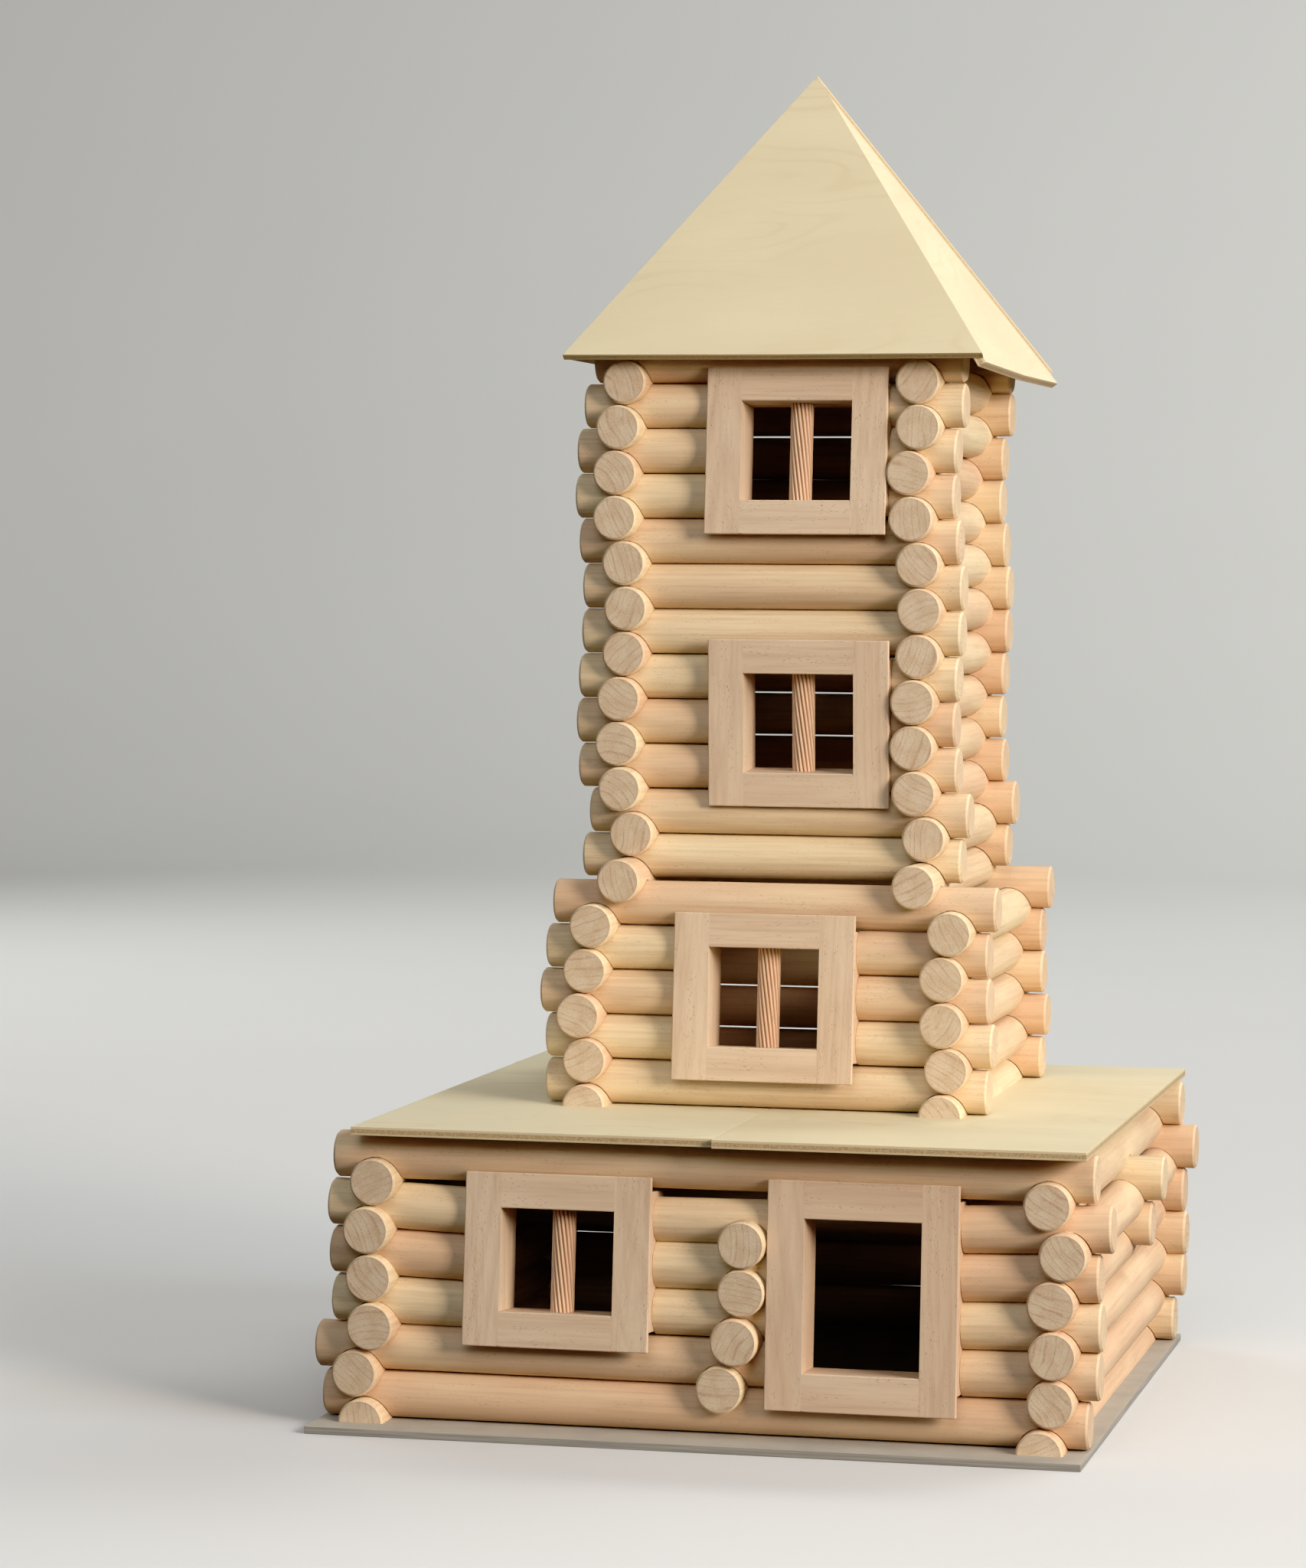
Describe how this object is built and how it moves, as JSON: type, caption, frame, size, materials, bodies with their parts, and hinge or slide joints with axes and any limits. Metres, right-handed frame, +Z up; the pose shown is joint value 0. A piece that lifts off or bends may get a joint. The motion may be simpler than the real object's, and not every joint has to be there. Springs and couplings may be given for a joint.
{
  "type": "toy log tower",
  "caption": "Toy tower of notched round logs: wide ground storey with a deck, narrower storeys above, framed windows, a doorway and a plywood pyramid roof.",
  "frame": {"origin": "middle of the base board's underside", "axes": "+Z up, -Y out of the front wall that has the door, +X along the front wall to the viewer's right"},
  "size_m": [0.2776, 0.287, 0.4798],
  "materials": {
    "log_wood": "untreated pale hardwood, turned round and lightly sanded",
    "frame_wood": "untreated planed hardwood",
    "dowel": "untreated hardwood dowel with spiral flutes",
    "plywood": "untreated birch plywood, sanded",
    "board": "plain grey board"
  },
  "bodies": {
    "ground_storey": {"board": "board", "base_sills": "log_wood", "base_wall_left": "log_wood", "base_wall_right": "log_wood", "base_partition": "log_wood", "base_wall_back": "log_wood", "base_beams": "log_wood", "base_front_long": "log_wood", "base_front_left": "log_wood", "base_front_mid": "log_wood", "base_front_right": "log_wood", "base_window_stiles": "frame_wood", "base_window_rails": "frame_wood", "base_window_dowel": "dowel", "door_stiles": "frame_wood", "door_rails": "frame_wood"},
    "deck": {"deck_left": "plywood", "deck_right": "plywood"},
    "middle_storey": {"middle_sills": "log_wood", "middle_wall_left": "log_wood", "middle_wall_right": "log_wood", "middle_wall_back": "log_wood", "middle_front_long": "log_wood", "middle_front_left": "log_wood", "middle_front_right": "log_wood", "middle_window_stiles": "frame_wood", "middle_window_rails": "frame_wood", "middle_window_dowel": "dowel"},
    "tower": {"tower_foot_logs": "log_wood", "tower_wall_left": "log_wood", "tower_wall_right": "log_wood", "tower_wall_back": "log_wood", "tower_front_long": "log_wood", "tower_front_left": "log_wood", "tower_front_right": "log_wood", "tower_low_window_stiles": "frame_wood", "tower_low_window_rails": "frame_wood", "tower_low_window_dowel": "dowel", "tower_top_window_stiles": "frame_wood", "tower_top_window_rails": "frame_wood", "tower_top_window_dowel": "dowel"},
    "roof": {"roof_front": "plywood", "roof_back": "plywood", "roof_left": "plywood", "roof_right": "plywood"}
  },
  "joints": [
    {"name": "deck_lift", "type": "slide", "parent": "ground_storey", "child": "deck", "axis": [0, 0, 1], "range_m": [0, 0.08]},
    {"name": "middle_lift", "type": "slide", "parent": "deck", "child": "middle_storey", "axis": [0, 0, 1], "range_m": [0, 0.08]},
    {"name": "tower_lift", "type": "slide", "parent": "middle_storey", "child": "tower", "axis": [0, 0, 1], "range_m": [0, 0.08]},
    {"name": "roof_lift", "type": "slide", "parent": "tower", "child": "roof", "axis": [0, 0, 1], "range_m": [0, 0.12]}
  ]
}
